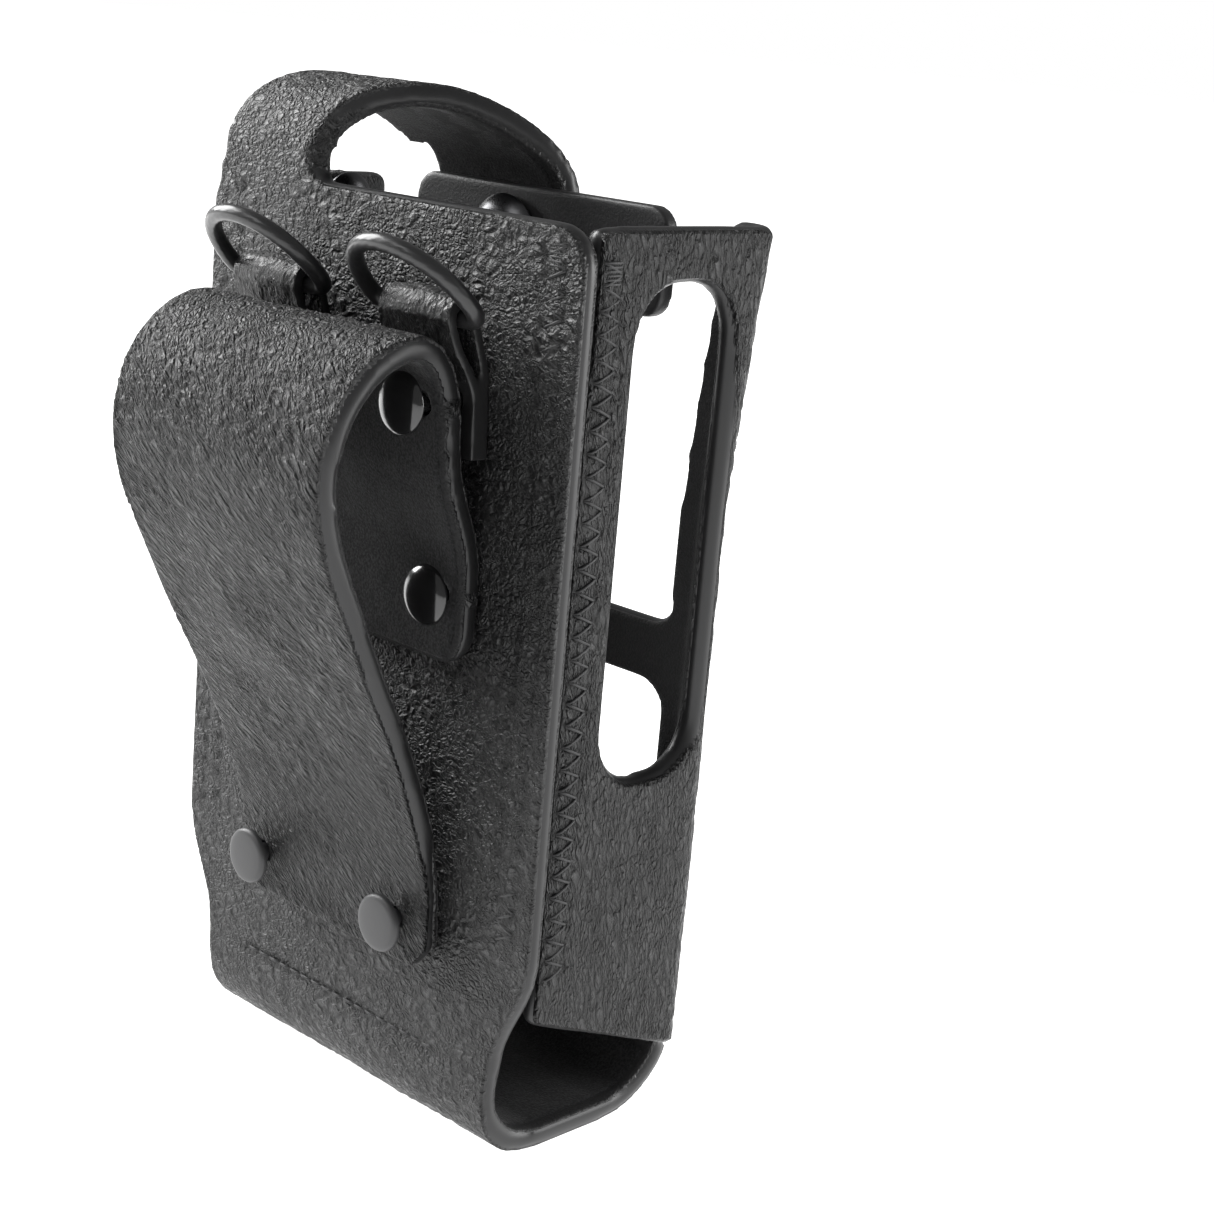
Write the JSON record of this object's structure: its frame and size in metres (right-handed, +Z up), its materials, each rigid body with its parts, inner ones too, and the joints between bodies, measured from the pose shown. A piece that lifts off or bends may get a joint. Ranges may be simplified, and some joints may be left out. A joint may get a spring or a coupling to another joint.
{
  "type": "radio carry case",
  "caption": "Leather holster for a hand-held radio with a riveted belt loop, two D-rings, open sides and front, and a snapped retaining strap over the top.",
  "frame": {"origin": "middle of the foot's flat lower face, midway between the side walls", "axes": "+Z up out of the mouth, +Y towards the back with the belt loop, -X towards the side with the long slot"},
  "size_m": [0.0786, 0.0694, 0.148],
  "materials": {
    "grain_leather": "black pebbled grain with creases, satin, smooth painted edges",
    "smooth_leather": "smooth semi-gloss dark grey leather with painted edges",
    "felt": "short dark fuzz",
    "gloss_black_cap": "gloss black dome",
    "matt_black_cap": "matt black, low dome",
    "snap_metal": "plated snap parts with a bright rim",
    "black_ring": "satin black wire",
    "black_thread": "waxed black thread"
  },
  "bodies": {
    "case": {"back_panel": "grain_leather", "back_lining": "felt", "front_wrap": "grain_leather", "side_rivet": "gloss_black_cap", "front_tee": "smooth_leather", "tee_snap_post": "snap_metal", "tee_snap_stud": "snap_metal", "belt_loop": "grain_leather", "belt_loop_lining": "felt", "loop_rivet_upper_left": "gloss_black_cap", "loop_rivet_upper_right": "gloss_black_cap", "loop_rivet_lower_left": "gloss_black_cap", "loop_rivet_lower_right": "gloss_black_cap", "foot_rivet_left": "matt_black_cap", "foot_rivet_right": "matt_black_cap", "ring_tab_left": "grain_leather", "seam_thread_left_back": "black_thread", "seam_thread_left_side": "black_thread", "ring_tab_right": "grain_leather", "seam_thread_right_back": "black_thread", "seam_thread_right_side": "black_thread", "foot_thread": "black_thread", "front_seam_thread": "black_thread", "tee_thread": "black_thread"},
    "strap": {"retaining_strap": "grain_leather", "strap_lining": "felt", "strap_snap_cap": "matt_black_cap", "strap_snap_socket": "snap_metal"},
    "ring_left": {"d_ring_left": "black_ring"},
    "ring_right": {"d_ring_right": "black_ring"}
  },
  "joints": [
    {"name": "strap_swing", "type": "hinge", "parent": "case", "child": "strap", "pos_m": [0.0272, 0.01207, 0.14612], "axis": [-1, 0, 0], "range_deg": [0, 110]},
    {"name": "ring_left_swing", "type": "hinge", "parent": "case", "child": "ring_left", "pos_m": [0.0152, 0.0229, 0.1196], "axis": [-1, 0, 0], "range_deg": [-58, 40]},
    {"name": "ring_right_swing", "type": "hinge", "parent": "case", "child": "ring_right", "pos_m": [-0.016, 0.0229, 0.1196], "axis": [-1, 0, 0], "range_deg": [-58, 40]}
  ]
}
